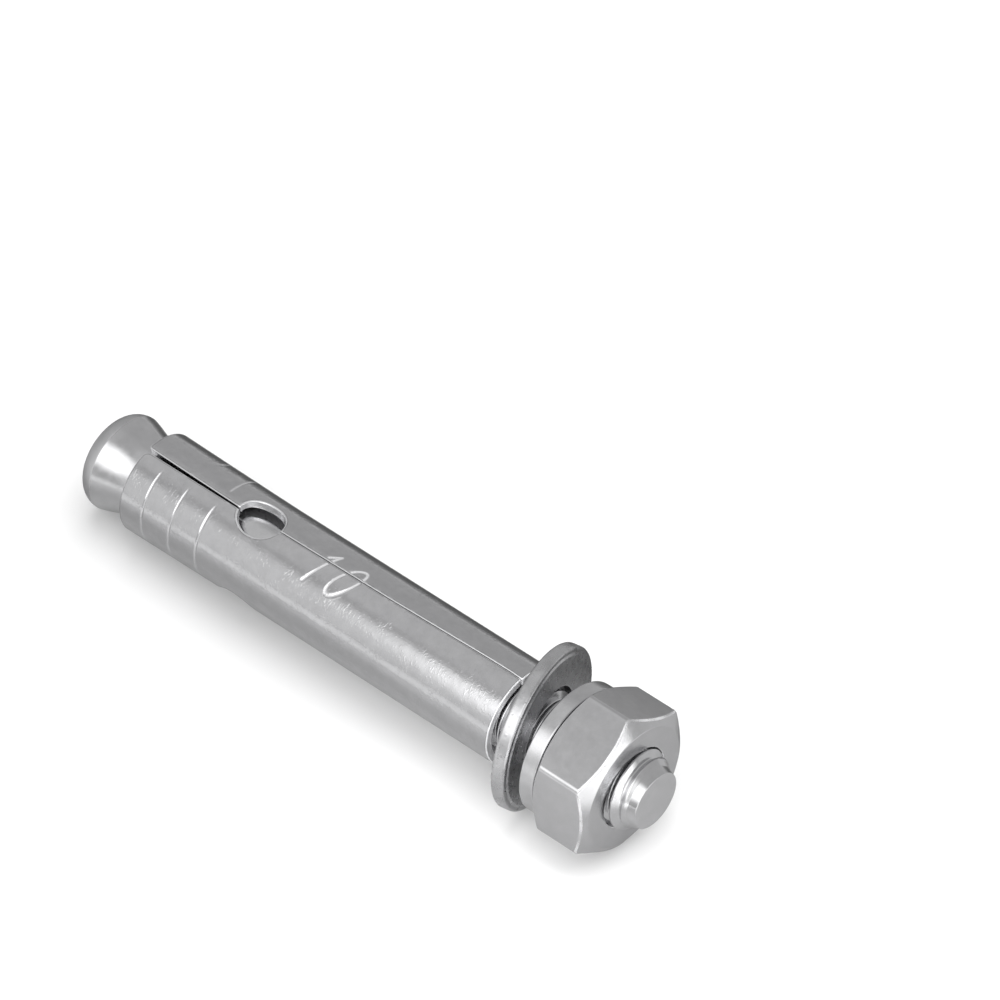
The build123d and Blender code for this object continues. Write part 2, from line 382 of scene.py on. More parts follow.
def thread_profile(s):
    """Radius of the rolled thread at s millimetres into one pitch."""
    s = np.mod(s, PITCH_MM)
    xs = [0.0, 0.035, 0.09, 0.17, 0.225, 0.26, 0.66, 0.73, 0.80, 0.96, 1.03, 1.10, 1.50]
    rs = [4.885, 4.915, 4.925, 4.925, 4.915, 4.885, 4.185, 4.105, 4.085, 4.085, 4.105, 4.185, 4.885]
    return np.interp(s, xs, rs)


T_ROWS = np.array([0.0, 0.035, 0.09, 0.17, 0.225, 0.26, 0.46, 0.66, 0.73, 0.80, 0.96, 1.03, 1.10, 1.30])
PHASE = 0.55


def helix_grid(m, x0, x1, radius, n=96, flip=False):
    """A thread surface between two flat ends: rows follow the helix."""
    turns0 = math.floor((x0 - PHASE) / PITCH_MM) - 1
    turns1 = math.ceil((x1 - PHASE) / PITCH_MM) + 1
    rows = [(k, t) for k in range(turns0, turns1) for t in T_ROWS]
    j = np.arange(n)
    th = j * 360.0 / n
    K = len(T_ROWS)
    pts = np.empty((len(rows), n, 3))
    for i, (k, t) in enumerate(rows):
        x = PHASE + k * PITCH_MM + t + j / n * PITCH_MM
        pts[i] = polar(np.clip(x, x0, x1), radius(np.clip(x, x0, x1), x, t), th)
    s = m.add(pts)
    for i in range(len(rows) - 1):
        for q in range(n - 1):
            a, b, c, d = s + i * n + q, s + i * n + q + 1, s + (i + 1) * n + q + 1, s + (i + 1) * n + q
            m.f.append((a, d, c, b) if flip else (a, b, c, d))
        if i + 1 + K < len(rows):
            a, b, c, d = s + i * n + n - 1, s + (i + K) * n, s + (i + K + 1) * n, s + (i + 1) * n + n - 1
            m.f.append((a, d, c, b) if flip else (a, b, c, d))
    # the seam's short edge at the two ends is closed by the clamping above


def stud_envelope(x):
    return np.interp(x, [0, 41.7, 41.9, 42.6, 80.7, 80.95, 81.12, 81.55, 82.2, 83.0],
                     [4.38, 4.38, 4.40, 4.925, 4.925, 4.90, 4.78, 4.35, 3.86, 3.60])


stud = Mesh()
rim_c = (PEAK_X, HEAD_R - ROUND_R)
face_r = rim_c[1] + math.sqrt(ROUND_R ** 2 - rim_c[0] ** 2)
a_start = math.pi - math.asin((face_r - rim_c[1]) / ROUND_R)
line = [(0.0, 0.0), (0.06, 0.6), (0.05, 2.0), (0.02, 3.2), (0.0, 3.9)]
for k in range(15):
    t = a_start + (math.pi / 2 - a_start) * k / 14
    line.append((rim_c[0] + ROUND_R * math.cos(t), rim_c[1] + ROUND_R * math.sin(t)))
line = line[:-1] + [(2.20, 6.130), (2.30, 6.128), (2.36, 6.118), (2.42, 6.098)]
cone_seen = [(2.46, 6.085), (3.35, 5.835), (4.45, 5.475), (5.75, 5.105), (7.35, 4.79), (9.2, 4.54), (11.6, 4.45)]
line += spline(cone_seen, 6)
line += [(20.0, 4.45), (30.0, 4.45), (41.6, 4.45), (41.9, 4.40), (42.2, 4.2), (42.4, 3.0)]
# the head's end face and rounded rim are painted a little darker, a painted shade that dulls their highlight, and are
# made rougher
head_rim_shade = np.repeat([1.0 - float(smooth(2.22, 2.40, x)) for x, r in line], 192)
lathe(stud, line, 192, flip=True, press_mark_and_painted_light=head_rim_shade)
helix_grid(stud, 41.75, 82.2, lambda xc, x, t: np.minimum(thread_profile(t), stud_envelope(xc)), flip=True)
tip = rounded([(82.2, 3.86), (83.19, 3.54), (83.19, 0.0)], [0, 0.10, 0], 5)
lathe(stud, tip, 96, flip=True)
stud.make("stud_steel_body", "stud", "cone_stud", MAT_STUD)

# -------------------------------------------------------------- the sleeve --
S_X0, S_X1, S_R, S_T = 7.35, 63.77, 6.20, 1.00
HOLE_X, HOLE_RX, HOLE_RV = 24.72, 3.04, 2.52      # pulled a little long where the sheet was rolled
HOLE_DV = -0.40                                    # the hole's middle, off the slit's line
SLITS = (46.6, 172.6, 289.6)
W_MOUTH, W_ROOT = 0.44, 0.20
CORNER = 0.85
GROOVES = (10.82, 15.03, 19.23)
MM = math.radians(1) * S_R           # millimetres a degree on the developed sheet


def seam_deg(x):
    return np.interp(x, [7.0, 26.6, 27.95, 42.9, 44.4, 59.1, 61.9, 63.9], [46.6, 45.0, 44.3, 42.35, 42.15, 38.5, 38.2, 38.9])


def strip_outline():
    """The developed sheet's edge as one closed line of (x, v), v = arc length from angle 0.
    It runs along the mouth with growing angle, in and out of two slits, and back along the seam."""
    pts = []

    def hole_at(v0, t):
        """A point of a hole's edge: t = 0 towards the mouth, growing towards larger v."""
        return (HOLE_X - HOLE_RX * math.cos(t), v0 + HOLE_DV + HOLE_RV * math.sin(t))

    def hole_t(dv, far):
        """The t at which the hole's edge is dv off the slit's line, on its mouth side or its far side."""
        a = math.asin((dv - HOLE_DV) / HOLE_RV)
        return math.pi - a if far else a

    def slit_half(v0, side, from_mouth):
        """One lip of a slit: side -1 is the lip at the smaller angle."""
        w0, w1 = W_MOUTH / 2, W_ROOT / 2
        c = CORNER if side > 0 else 0.30
        p = [(S_X0 + c - c * math.sin(t), v0 + side * (w0 + c - c * math.cos(t))) for t in np.linspace(math.pi / 2, 0, 8)]
        xh = hole_at(v0, hole_t(side * w1, False))[0]
        n = 26
        for k in range(1, n + 1):
            f = k / n
            p.append((S_X0 + c + (xh - S_X0 - c) * f, v0 + side * (w0 + (w1 - w0) * f)))
        return p if from_mouth else p[::-1]

    v_first = SLITS[0] * MM
    gap = 0.045
    vs = float(seam_deg(27.6)) * MM - v_first
    t_slit_hi, t_slit_lo = hole_t(W_ROOT / 2, False), hole_t(-W_ROOT / 2, False)
    t_seam = hole_t(vs + gap, True)
    start = [hole_at(v_first, t) for t in np.linspace(t_seam, t_slit_hi, 34)]
    pts += start[:-1]
    pts += slit_half(v_first, +1, False)
    for i, s in enumerate(list(SLITS[1:]) + [SLITS[0] + 360.0]):
        v_to = s * MM - W_MOUTH / 2 - 0.30
        v_from = pts[-1][1]
        n = max(4, int((v_to - v_from) / 0.45))
        for k in range(1, n):
            pts.append((S_X0, v_from + (v_to - v_from) * k / n))
        v0 = s * MM
        pts += slit_half(v0, -1, True)
        if i < 2:
            pts += [hole_at(v0, t) for t in np.linspace(t_slit_lo, t_slit_hi - 2 * math.pi, 76)][1:-1]
            pts += slit_half(v0, +1, False)
        else:
            t_end = hole_t(vs - gap, True) - 2 * math.pi
            pts += [hole_at(v0, t) for t in np.linspace(t_slit_lo, t_end, 34)][1:]
    # along the seam to the nut end, on the far side of the sheet
    full = 360.0 * MM
    x_from = pts[-1][0]
    n = 78
    for k in range(1, n + 1):
        x = x_from + (end_x(0.0) - x_from) * k / n
        pts.append((x, float(seam_deg(x)) * MM + full - gap))
    # the nut end, back to the near side of the sheet
    v_hi, v_lo = pts[-1][1], float(seam_deg(end_x(1.0))) * MM + gap
    n = 84
    for k in range(1, n + 1):
        pts.append((end_x(k / n), v_hi + (v_lo - v_hi) * k / n))
    # and along the seam to the hole
    x_from = pts[-1][0]
    x_to = start[0][0]
    n = 78
    for k in range(1, n):
        x = x_from + (x_to - x_from) * k / n
        pts.append((x, float(seam_deg(x)) * MM + gap))
    return np.array(pts)


def end_x(f):
    """The nut end is cut a little askew: 0 at the far side of the sheet, 1 at the near side."""
    return S_X1 + 0.10 * (1 - f) - 0.04


def petal_flare(x, deg):
    """How far the sheet stands out towards the mouth, more on the petal above the seam."""
    d = np.mod(deg - SLITS[0], 360.0)
    lower = d < SLITS[1] - SLITS[0]
    back = (~lower) & (d < SLITS[2] - SLITS[0])
    amount = np.where(lower, 0.19 - 0.06 * smooth(60, 126, d), np.where(back, 0.12, 0.12 + 0.20 * smooth(243, 330, d)))
    t = np.clip((26.0 - x) / (26.0 - S_X0), 0, 1)
    return amount * t ** 1.25


def groove_depth(x, deg):
    a = np.mod(deg - SLITS[0] + 180.0, 360.0) - 180.0            # below 0 on the petal above the slit
    out = np.zeros_like(x)
    lip = np.zeros_like(x)
    for gx, start in zip(GROOVES, (None, 37.0, 9.5)):
        upper = 0.0 if start is None else smooth(start, start + 2.5, -a)
        upper = np.where(a < -113.0, 1.0, upper)
        fade = np.where(a >= 0, smooth(11.0, 13.5, a), upper)
        u = np.abs(x - gx) / 0.22
        out = np.maximum(out, np.where(u < 1, (1 - u * u) ** 2, 0.0) * fade)
        u = (np.abs(x - gx) - 0.28) / 0.12
        lip = np.maximum(lip, np.where(np.abs(u) < 1, (1 - u * u) ** 2, 0.0) * fade)
    return 0.065 * out - 0.008 * lip


# a plain size number in slanted strokes, in developed millimetres (x, v)
def strokes():
    base, top = 75.5 * MM, 30.5 * MM
    h = base - top

    def at(x, up):
        return (x + 0.42 * up * h, base - up * h)

    one = [at(34.0, 0.0), at(34.0, 0.5), at(34.0, 1.0), at(33.2, 0.80)]
    zero = []
    for k in range(25):
        t = 2 * math.pi * k / 24
        zero.append(at(37.7 + 1.15 * math.cos(t), 0.5 + 0.5 * math.sin(t)))
    return [one, zero]


STROKES = strokes()


def stroke_depth(x, v):
    best = np.full(x.shape, 9.0)
    v = np.where(v > 220.0 * MM, v - 360.0 * MM, v)
    for line_ in STROKES:
        for (ax, av), (bx, bv) in zip(line_[:-1], line_[1:]):
            dx, dv = bx - ax, bv - av
            L2 = dx * dx + dv * dv
            t = np.clip(((x - ax) * dx + (v - av) * dv) / L2, 0, 1)
            d = np.hypot(x - (ax + t * dx), v - (av + t * dv))
            best = np.minimum(best, d)
    u = np.clip(best / 0.25, 0, 1)
    lip = np.clip((best - 0.40) / 0.16, -1, 1)
    return 0.055 * (1 - u * u) ** 2 - 0.012 * (1 - lip * lip) ** 2


def press_mark_and_highlight(x, v):
    """Where the sheet was pressed: the number's strokes fully, the grooves partly. The lighter colour this gives them
    is a painted highlight on their frosted press finish.
    """
    st = np.clip(stroke_depth(x, v) / 0.03, 0, 1)
    gr = np.clip(groove_depth(x, v / MM) / 0.05, 0, 1)
    return np.maximum(0.50 * st, 0.26 * gr)


def sleeve_r(x, v, plain=False):
    deg = v / MM
    r = S_R + petal_flare(x, deg)
    if not plain:
        r = r - groove_depth(x, deg) - stroke_depth(x, v)
    return r


outline = strip_outline()


def inset(loop, d):
    """Move a closed line to its inner side by d."""
    a, b = np.roll(loop, 1, 0), np.roll(loop, -1, 0)
    t0, t1 = loop - a, b - loop
    t0 /= np.linalg.norm(t0, axis=1)[:, None]
    t1 /= np.linalg.norm(t1, axis=1)[:, None]
    n0, n1 = np.stack([-t0[:, 1], t0[:, 0]], 1), np.stack([-t1[:, 1], t1[:, 0]], 1)
    n = n0 + n1
    n /= np.linalg.norm(n, axis=1)[:, None]
    c = np.clip((n * n0).sum(1), 0.45, 1)
    return loop + n * (d / c)[:, None]


area = 0.5 * np.sum(outline[:, 0] * np.roll(outline[:, 1], -1) - np.roll(outline[:, 0], -1) * outline[:, 1])
if area < 0:
    outline = outline[::-1].copy()


def at_hole(loop):
    """1 on a hole's edge, 0 elsewhere."""
    res_ = np.zeros(len(loop))
    for sl in SLITS + (SLITS[0] + 360.0,):
        q = np.hypot((loop[:, 0] - HOLE_X) / HOLE_RX, (loop[:, 1] - sl * MM - HOLE_DV) / HOLE_RV)
        res_ = np.maximum(res_, 1.0 - smooth(1.01, 1.05, q))
    return res_


HOLED = at_hole(outline)
EDGE = 0.13 + 0.07 * HOLED
ring_in = inset(outline, EDGE)
ring_hold = inset(outline, EDGE + 0.06)


def inside(poly, pts):
    x, y = pts[:, 0], pts[:, 1]
    res = np.zeros(len(pts), bool)
    px, py = poly[:, 0], poly[:, 1]
    qx, qy = np.roll(px, -1), np.roll(py, -1)
    for i in range(len(poly)):
        if py[i] == qy[i]:
            continue
        hit = ((py[i] > y) != (qy[i] > y)) & (x < (qx[i] - px[i]) * (y - py[i]) / (qy[i] - py[i]) + px[i])
        res ^= hit
    return res


def far_from(poly, pts, d):
    ok = np.ones(len(pts), bool)
    a, b = poly, np.roll(poly, -1, 0)
    for i in range(len(poly)):
        ax, ay = a[i]
        bx, by = b[i]
        lo = (pts[:, 0] > min(ax, bx) - d) & (pts[:, 0] < max(ax, bx) + d) & (pts[:, 1] > min(ay, by) - d) & (pts[:, 1] < max(ay, by) + d) & ok
        if not lo.any():
            continue
        idx = np.nonzero(lo)[0]
        q = pts[idx]
        dx, dy = bx - ax, by - ay
        L2 = dx * dx + dy * dy
        t = np.clip(((q[:, 0] - ax) * dx + (q[:, 1] - ay) * dy) / L2, 0, 1)
        dist = np.hypot(q[:, 0] - ax - t * dx, q[:, 1] - ay - t * dy)
        ok[idx[dist < d]] = False
    return ok


# columns along x: closer at the grooves, and a fine patch under the number
cols = [S_X0 + 0.25]
while cols[-1] < S_X1 + 0.1:
    x = cols[-1]
    near = min(abs(x - g) for g in GROOVES)
    step = 0.055 if near < 0.44 else 0.30 if x < 28.5 else 0.48
    cols.append(x + step)
cols = np.array(cols)
v_lo, v_hi = outline[:, 1].min(), outline[:, 1].max()
rows_v = np.linspace(v_lo, v_hi, int((v_hi - v_lo) / 0.42))
gx, gv = np.meshgrid(cols, rows_v, indexing="ij")
pts = np.stack([gx.ravel(), gv.ravel()], 1)
for p_lo, p_hi in ((38.0, 79.0), (387.0, 404.5)):
    patch = (pts[:, 0] > 32.2) & (pts[:, 0] < 42.2) & (pts[:, 1] > (p_lo - 0.2) * MM) & (pts[:, 1] < p_hi * MM)
    pts = pts[~patch]
    fx, fv = np.meshgrid(np.arange(32.2, 42.2, 0.085), np.arange(p_lo * MM, p_hi * MM, 0.085), indexing="ij")
    fpts = np.stack([fx.ravel(), fv.ravel()], 1)
    keep = stroke_depth(fpts[:, 0], fpts[:, 1])
    near_stroke = np.abs(keep) > 1e-6
    coarse = (np.round((fpts[:, 0] - 32.2) / 0.085).astype(int) % 4 == 0) & (np.round((fpts[:, 1] - p_lo * MM) / 0.085).astype(int) % 4 == 0)
    pts = np.vstack([pts, fpts[near_stroke | coarse]])
pts = pts[inside(ring_hold, pts)]
pts = pts[far_from(ring_hold, pts, 0.10)]
n_ring = len(ring_hold)
allp = np.vstack([ring_hold, pts])
res = delaunay_2d_cdt([Vector(p) for p in allp.tolist()], [], [list(range(n_ring))], 1, 1e-5)
cdt_v = np.array([tuple(v) for v in res[0]])
cdt_f = [list(f) for f in res[2]]

sleeve = Mesh()


def rolled(xv, r):
    return polar(xv[:, 0], r, xv[:, 1] / MM)


def fix(face, v, outward):
    a, b, c = (v[face[0]], v[face[1]], v[face[2]])
    z = (b[0] - a[0]) * (c[1] - a[1]) - (b[1] - a[1]) * (c[0] - a[0])
    return face if (z > 0) == outward else face[::-1]


OUT_POSITIVE = False
r_out = sleeve_r(cdt_v[:, 0], cdt_v[:, 1])
r_in = sleeve_r(cdt_v[:, 0], cdt_v[:, 1], plain=True) - S_T
s0 = sleeve.add(rolled(cdt_v, r_out), press_mark_and_highlight(cdt_v[:, 0], cdt_v[:, 1]))
for f in cdt_f:
    g = fix(f, cdt_v, OUT_POSITIVE)
    sleeve.f.append(tuple(s0 + q for q in g))
# the inner surface is painted lighter near the holes and towards the nut end: painted light lifting the shade seen
# through the holes and past the washer
s1 = sleeve.add(rolled(cdt_v, r_in), 0.7 * smooth(19.5, 21.5, cdt_v[:, 0]) * (1 - smooth(28.0, 30.0, cdt_v[:, 0])) + 0.8 * smooth(57.0, 59.0, cdt_v[:, 0]))
for f in cdt_f:
    g = fix(f, cdt_v, not OUT_POSITIVE)
    sleeve.f.append(tuple(s1 + q for q in g))
# round the sheet's edge: from the outer surface over the rim to the inner surface
layers = []
ro_hold = sleeve_r(ring_hold[:, 0], ring_hold[:, 1])
ri_hold = sleeve_r(ring_hold[:, 0], ring_hold[:, 1], plain=True) - S_T
layers.append(rolled(ring_hold, ro_hold))
ro = sleeve_r(ring_in[:, 0], ring_in[:, 1])
for k in range(0, 6):
    t = math.pi / 2 * k / 5
    p = inset(outline, EDGE * (1 - math.sin(t)))
    layers.append(rolled(p, ro - EDGE * (1 - math.cos(t))))
rp = sleeve_r(ring_in[:, 0], ring_in[:, 1], plain=True) - S_T
E2 = 0.08
layers.append(rolled(outline, ro - EDGE - 0.10))
layers.append(rolled(outline, rp + E2 + 0.06))
for k in range(0, 4):
    t = math.pi / 2 * k / 3
    p = inset(outline, E2 * (1 - math.cos(t)))
    layers.append(rolled(p, rp + E2 * (1 - math.sin(t))))
layers.append(rolled(ring_hold, ri_hold))
grid_pts = np.array(layers)
# painted highlight on the outer edges and on the holes' walls, and painted light on the nut end's rim and wall
rim_highlight = np.array([0.0, 0.4, 0.8, 1.0, 1.0, 0.8, 0.3] + [0.0] * (len(layers) - 7))
wall_highlight = np.array([0.0, 0.3, 0.6, 0.8, 1.0, 1.0, 1.0, 1.0, 1.0] + [0.4] * (len(layers) - 9))
AT_END = smooth(63.2, 63.6, outline[:, 0]) * (1 - HOLED)
edge_highlight = (rim_highlight[:, None] * (0.32 * (1 - HOLED) + 0.20 * AT_END)[None, :] + 0.44 * wall_highlight[:, None] * HOLED[None, :]
          + 0.40 * wall_highlight[:, None] * AT_END[None, :])
sleeve.grid(grid_pts, wrap=True, flip=not OUT_POSITIVE, press_mark_and_painted_light=edge_highlight)
sleeve.make("sleeve_sheet", "sleeve", "expansion_sleeve", MAT_SLEEVE, weld=1e-5)

# -------------------------------------------------------- the plain washer --
W_R, W_B, W_T, W_X, W_LIFT = 10.0, 5.32, 1.86, 66.62, 0.30
wn = np.array([1.0, 0.190, -0.030])
wn /= np.linalg.norm(wn)


def washer_place(p):
    """Turn the washer's own axis (x) to its lean, and put it in place."""
    yaw = math.atan2(wn[1], wn[0])
    dip = -math.asin(wn[2])
    q = p.copy()
    x, z = p[:, 0] * math.cos(dip) + p[:, 2] * math.sin(dip), -p[:, 0] * math.sin(dip) + p[:, 2] * math.cos(dip)
    q[:, 0], q[:, 2] = x, z
    x, y = q[:, 0] * math.cos(yaw) - q[:, 1] * math.sin(yaw), q[:, 0] * math.sin(yaw) + q[:, 1] * math.cos(yaw)
    return np.stack([x + W_X, y, q[:, 2] + W_LIFT], 1)


washer = Mesh()
h = W_T / 2
wl = [(-h, 7.6), (-h, W_R), (h - 0.13, W_R), (h - 0.13, 9.36), (h, 9.04), (h, W_B), (-h, W_B), (-h, 7.6)]
wl = rounded(wl, [0, 0.42, 0.50, 0.16, 0.20, 0.16, 0.16, 0], 6)
lathe(washer, wl, 224, flip=True, place=washer_place)
washer.make("flat_washer_disc", "plain_washer", "flat_washer", MAT_WASHER)

# ------------------------------------------------------- the spring washer --
SP_R, SP_B, SP_T, SP_P, SP_SWEEP, SP_END, SP_LEAN, SP_DROP = 8.25, 5.20, 2.08, 0.72, 353.0, -45.0, 1.5, 0.24
NUT_X0, NUT_X1 = 72.45, 80.05


def bar_section(n=5, rad=0.22):
    """Rounded rectangle, (radial, along), counter-clockwise."""
    hb, ht = (SP_R - SP_B) / 2, SP_T / 2
    out = []
    for cx, cy, a0 in ((hb - rad, ht - rad, 0), (-hb + rad, ht - rad, 90), (-hb + rad, -ht + rad, 180), (hb - rad, -ht + rad, 270)):
        for k in range(n + 1):
            a = math.radians(a0 + 90 * k / n)
            out.append((cx + rad * math.cos(a), cy + rad * math.sin(a)))
        # hold the flats
    res_ = []
    for i, p in enumerate(out):
        res_.append(p)
        if i % (n + 1) == n:
            q = out[(i + 1) % len(out)]
            res_.append((p[0] + (q[0] - p[0]) * 0.08, p[1] + (q[1] - p[1]) * 0.08))
            res_.append((p[0] + (q[0] - p[0]) * 0.92, p[1] + (q[1] - p[1]) * 0.92))
    return np.array(res_)


sec = bar_section()
mean = (SP_R + SP_B) / 2
SN = 160
rings = []
for i in range(SN + 1):
    f = i / SN
    deg = SP_END + SP_SWEEP * (1 - f)
    xc = SP_P * SP_SWEEP / 360.0 * f
    rings.append(polar(xc + sec[:, 1], mean + sec[:, 0], np.full(len(sec), deg)))
# cut ends, with their sharp edges just broken
sp = np.array(rings)
first_c, last_c = sp[0].mean(0), sp[-1].mean(0)


def capped(rings_):
    out = []
    for end, ring in ((0, rings_[0]), (1, rings_[-1])):
        c = ring.mean(0)
        out.append(c + (ring - c) * 0.94)
    return out


c0, c1 = capped(sp)
step0 = (sp[0] - sp[1])
step0 /= np.linalg.norm(step0.mean(0))
step1 = (sp[-1] - sp[-2])
step1 /= np.linalg.norm(step1.mean(0))
d0, d1 = step0.mean(0) * 0.05, step1.mean(0) * 0.05
body = np.concatenate([(c0 + d0)[None], sp, (c1 + d1)[None]], 0)
lean_c = np.array([SP_P * SP_SWEEP / 360.0 / 2, 0, 0])
la = np.array([0, -math.cos(math.radians(UP)), math.sin(math.radians(UP))])


def about(p, c, axis, ang):
    q = p - c
    k = axis / np.linalg.norm(axis)
    return c + q * math.cos(ang) + np.cross(k, q) * math.sin(ang) + np.outer(q @ k, k) * (1 - math.cos(ang))


shape = body.shape
body = about(body.reshape(-1, 3), lean_c, la, math.radians(SP_LEAN))
body[:, 0] += NUT_X0 - 0.04 - body[:, 0].max()
body[:, 2] -= SP_DROP
body = body.reshape(shape)
spring = Mesh()
spring.grid(body.transpose(0, 1, 2), wrap=True, flip=False)
spring.disc(body[0], body[0].mean(0), flip=True)
spring.disc(body[-1], body[-1].mean(0), flip=False)
spring.make("spring_washer_coil", "lock_washer", "spring_washer", MAT_SPRING)

# ----------------------------------------------------------------- the nut --
AF, CORNER_DEG, FACE_R, BACK_R, CS_R, BORE_R = 17.0, -24.7, 7.72, 8.28, 5.08, 4.99
V_ROUND = 0.80


def hex_radius(deg):
    """Distance to the hexagon's side at this angle, corners rounded."""
    a = (np.asarray(deg, float) - CORNER_DEG) % 60.0 - 30.0      # 0 at mid flat
    a = np.radians(np.abs(a))
    flat = AF / 2 / np.cos(a)
    # rounded corner: circle of V_ROUND centred on the corner line
    dc = (AF / 2 - V_ROUND) / math.cos(math.radians(30))
    b = math.radians(30) - a                                     # angle from the corner line
    disc = V_ROUND ** 2 - (dc * np.sin(b)) ** 2
    arc = dc * np.cos(b) + np.sqrt(np.maximum(disc, 0))
    # tangent point of the circle on the flat
    ty = dc * math.sin(math.radians(30))
    at = math.atan2(ty, AF / 2)
    return np.where((a > at) & (disc > 0), arc, flat)


angles = []
for kf in range(6):
    base_ = CORNER_DEG + 60 * kf
    for a in list(np.linspace(0, 2.6, 9)) + list(np.linspace(3.1, 56.9, 46)) + list(np.linspace(57.4, 60, 9))[:-1]:
        angles.append(base_ + a)
angles = np.array(angles)
Rh = hex_radius(angles)
tan30 = math.tan(math.radians(30))


def nut_line(rh):
    """(x, r) from the bore's edge round the outside to the other bore edge."""
    rise, back = (rh - FACE_R) * tan30, (rh - BACK_R) * tan30
    pts_ = [(NUT_X0 + 0.42, BORE_R), (NUT_X0, CS_R), (NUT_X0, BACK_R), (NUT_X0 + back, rh), (NUT_X1 - rise, rh), (NUT_X1, FACE_R),
            (NUT_X1, CS_R), (NUT_X1 - 0.42, BORE_R)]
    return rounded(pts_, [0, 0.10, 0.10, min(0.24, 0.9 * back), min(0.34, 0.9 * rise), 0.35, 0.10, 0], 4)


lines = [nut_line(r) for r in Rh]
L = np.array(lines)                                   # [angle, k, (x, r)]
nut_pts = np.empty((L.shape[1], len(angles), 3))
for k in range(L.shape[1]):
    nut_pts[k] = polar(L[:, k, 0], L[:, k, 1], angles)
nut = Mesh()
# painted highlight along the chamfers' edges, stronger in some places than others
nut_edge_highlight = np.zeros(L.shape[:2])
chamfer_highlight = 0.46 + 0.16 * np.sin(np.radians(angles * 7.0 + 20.0)) + 0.12 * np.sin(np.radians(angles * 17.0 + 80.0))
for k_, w_ in ((23, 0.5), (24, 0.95), (25, 1.0), (26, 0.95), (27, 0.5)):
    nut_edge_highlight[:, k_] = w_ * chamfer_highlight
for k_, w_ in ((17, 0.35), (18, 0.5), (19, 0.35), (37, 0.5), (38, 0.9), (39, 1.0), (40, 0.9), (41, 0.5)):
    nut_edge_highlight[:, k_] = w_ * chamfer_highlight
nut.grid(nut_pts, wrap=True, flip=True, press_mark_and_painted_light=nut_edge_highlight.T)


def nut_radius(xc, x, t):
    """Internal thread in phase with the stud's, a little clear of it."""
    th = np.maximum(thread_profile(t + 0.0) + 0.065, 4.205)
    dist = np.minimum(xc - NUT_X0, NUT_X1 - xc)
    return np.maximum(th, np.where(dist < 1.25, 5.01 - 0.8 * np.clip(dist - 0.44, 0, 2), 0))


helix_grid(nut, NUT_X0 + 0.42, NUT_X1 - 0.42, nut_radius, flip=False)
nut.make("hex_nut_body", "nut", "hex_nut", MAT_NUT)

# -------------------------------------------------------- floor and lights --
fm, nt = nodes_of("pale_floor")
N, Lk = nt.nodes, nt.links
out = N.new("ShaderNodeOutputMaterial")
lp = N.new("ShaderNodeLightPath")
d_cam = N.new("ShaderNodeBsdfDiffuse")
d_cam.inputs["Color"].default_value = (0.795, 0.795, 0.795, 1)
d_gl = N.new("ShaderNodeBsdfDiffuse")
geo = N.new("ShaderNodeNewGeometry")
sep = N.new("ShaderNodeSeparateXYZ")
Lk.new(geo.outputs["Position"], sep.inputs["Vector"])
ymap = N.new("ShaderNodeMapRange")
ymap.inputs["From Min"].default_value = -0.10
ymap.inputs["From Max"].default_value = 0.10
Lk.new(sep.outputs["Y"], ymap.inputs["Value"])
# what reflections see of the floor is a painted reflection, toned by position: lighter on the near side, lifted under
# the part against its shadow, and a dark band past the far side
tone = N.new("ShaderNodeValToRGB")
stops = [(-0.10, 0.70), (-0.0500, 0.68), (-0.0475, 0.47), (-0.0300, 0.45), (-0.0240, 0.39),
         (-0.0190, 0.34), (-0.0130, 0.34), (-0.0090, 0.41), (-0.0060, 0.50), (0.0060, 0.51), (0.0180, 0.08), (0.0360, 0.10),
         (0.0640, 0.18), (0.0900, 0.24), (0.10, 0.38)]
while len(tone.color_ramp.elements) < len(stops):
    tone.color_ramp.elements.new(0.5)
for e_, (yy, g_) in zip(tone.color_ramp.elements, stops):
    e_.position = (yy + 0.10) / 0.20
for e_, (yy, g_) in zip(tone.color_ramp.elements, stops):
    e_.color = (g_, g_, g_, 1)
Lk.new(ymap.outputs["Result"], tone.inputs["Fac"])


def x_ramp(lo, hi, table):
    m_ = N.new("ShaderNodeMapRange")
    m_.inputs["From Min"].default_value = lo
    m_.inputs["From Max"].default_value = hi
    Lk.new(sep.outputs["X"], m_.inputs["Value"])
    r_ = N.new("ShaderNodeValToRGB")
    while len(r_.color_ramp.elements) < len(table):
        r_.color_ramp.elements.new(0.5)
    for e2, (xx, g2) in zip(r_.color_ramp.elements, table):
        e2.position = (xx - lo) / (hi - lo)
    for e2, (xx, g2) in zip(r_.color_ramp.elements, table):
        e2.color = (g2, g2, g2, 1)
    Lk.new(m_.outputs["Result"], r_.inputs["Fac"])
    return r_.outputs["Color"]


# past either end the painted reflection has its own tone: plain before the head, bright past the nut
ends = x_ramp(-0.09, 0.45, [(-0.075, 0.36), (-0.062, 0.34), (-0.052, 0.20), (0.0, 0.20), (0.039, 0.33), (0.058, 0.36), (0.080, 0.95),
                            (0.12, 1.0), (0.20, 1.5), (0.45, 2.4)])
use_nut = x_ramp(0.0, 0.05, [(0.034, 0.0), (0.041, 1.0)])
use_head = x_ramp(-0.05, 0.0, [(-0.044, 1.0), (-0.040, 0.0)])
near_y = N.new("ShaderNodeMapRange")
near_y.inputs["From Min"].default_value = 0.012
near_y.inputs["From Max"].default_value = 0.020
near_y.inputs["To Min"].default_value = 1.0
near_y.inputs["To Max"].default_value = 0.0
abs_y = N.new("ShaderNodeMath")
abs_y.operation = "ABSOLUTE"
Lk.new(sep.outputs["Y"], abs_y.inputs[0])
Lk.new(abs_y.outputs["Value"], near_y.inputs["Value"])
use_m = N.new("ShaderNodeMath")
use_m.operation = "MULTIPLY_ADD"
Lk.new(use_head, use_m.inputs[0])
Lk.new(near_y.outputs["Result"], use_m.inputs[1])
